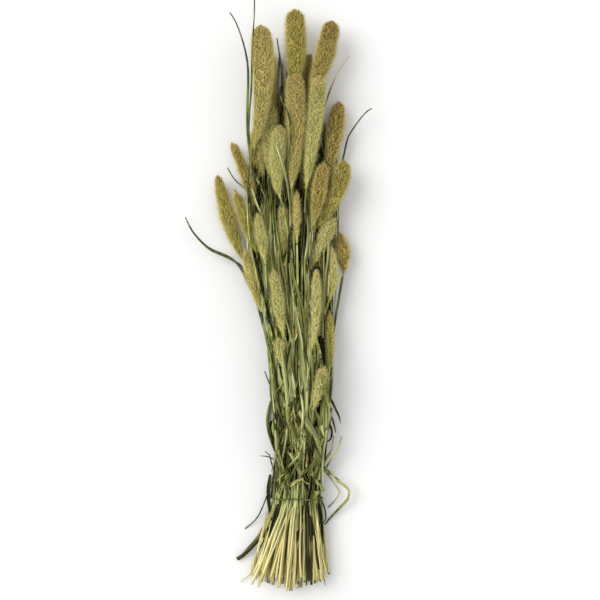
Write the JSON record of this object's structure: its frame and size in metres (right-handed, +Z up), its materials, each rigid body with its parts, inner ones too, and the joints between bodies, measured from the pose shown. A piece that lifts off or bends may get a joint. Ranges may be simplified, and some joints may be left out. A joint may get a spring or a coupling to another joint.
{
  "type": "dried foxtail millet bunch",
  "caption": "Tied bunch of dried foxtail millet lying on its side: bristly golden-green seed heads on pale green stems with long dry leaves, bound above the cut ends.",
  "frame": {"origin": "on the surface that the bunch lies on, under the middle of its bounding box", "axes": "+Y along the stems, from the cut ends towards the seed heads; +Z up from the surface that it lies on; +X across the bunch, to the right of somebody who looks along +Y"},
  "size_m": [0.2254, 0.7084, 0.065],
  "materials": {
    "leafy_stem": "matt",
    "seed_head_tan": "matt",
    "seed_head_brown": "matt",
    "seed_head_olive": "matt",
    "seed_head_green": "matt",
    "twine": "matt"
  },
  "bodies": {
    "root": {"leafy_stems_01": "leafy_stem", "leafy_stems_02": "leafy_stem", "leafy_stems_03": "leafy_stem", "leafy_stems_04": "leafy_stem", "leafy_stems_05": "leafy_stem", "leafy_stems_06": "leafy_stem", "leafy_stems_07": "leafy_stem", "leafy_stems_08": "leafy_stem", "leafy_stems_09": "leafy_stem", "leafy_stems_10": "leafy_stem", "leafy_stems_11": "leafy_stem", "leafy_stems_12": "leafy_stem", "leafy_stems_13": "leafy_stem", "leafy_stems_14": "leafy_stem", "leafy_stems_15": "leafy_stem", "leafy_stems_16": "leafy_stem", "leafy_stems_17": "leafy_stem", "leafy_stems_18": "leafy_stem", "leafy_stems_19": "leafy_stem", "seed_head_01": "seed_head_tan", "seed_head_02": "seed_head_olive", "seed_head_03": "seed_head_brown", "seed_head_04": "seed_head_olive", "seed_head_05": "seed_head_tan", "seed_head_06": "seed_head_green", "seed_head_07": "seed_head_brown", "seed_head_08": "seed_head_brown", "seed_head_09": "seed_head_olive", "seed_head_10": "seed_head_green", "seed_head_11": "seed_head_brown", "seed_head_12": "seed_head_brown", "seed_head_13": "seed_head_olive", "seed_head_14": "seed_head_olive", "seed_head_15": "seed_head_tan", "seed_head_16": "seed_head_green", "seed_head_17": "seed_head_green", "seed_head_18": "seed_head_tan", "seed_head_19": "seed_head_green", "seed_head_20": "seed_head_green", "seed_head_21": "seed_head_tan", "seed_head_22": "seed_head_green", "seed_head_23": "seed_head_green", "seed_head_24": "seed_head_green", "seed_head_25": "seed_head_olive", "seed_head_26": "seed_head_green", "seed_head_27": "seed_head_brown", "seed_head_28": "seed_head_green", "seed_head_29": "seed_head_olive", "seed_head_30": "seed_head_brown", "seed_head_31": "seed_head_tan", "seed_head_32": "seed_head_olive", "seed_head_33": "seed_head_tan", "seed_head_34": "seed_head_olive", "seed_head_35": "seed_head_green", "seed_head_36": "seed_head_green", "seed_head_37": "seed_head_olive", "seed_head_38": "seed_head_green", "tie": "twine"}
  },
  "joints": []
}
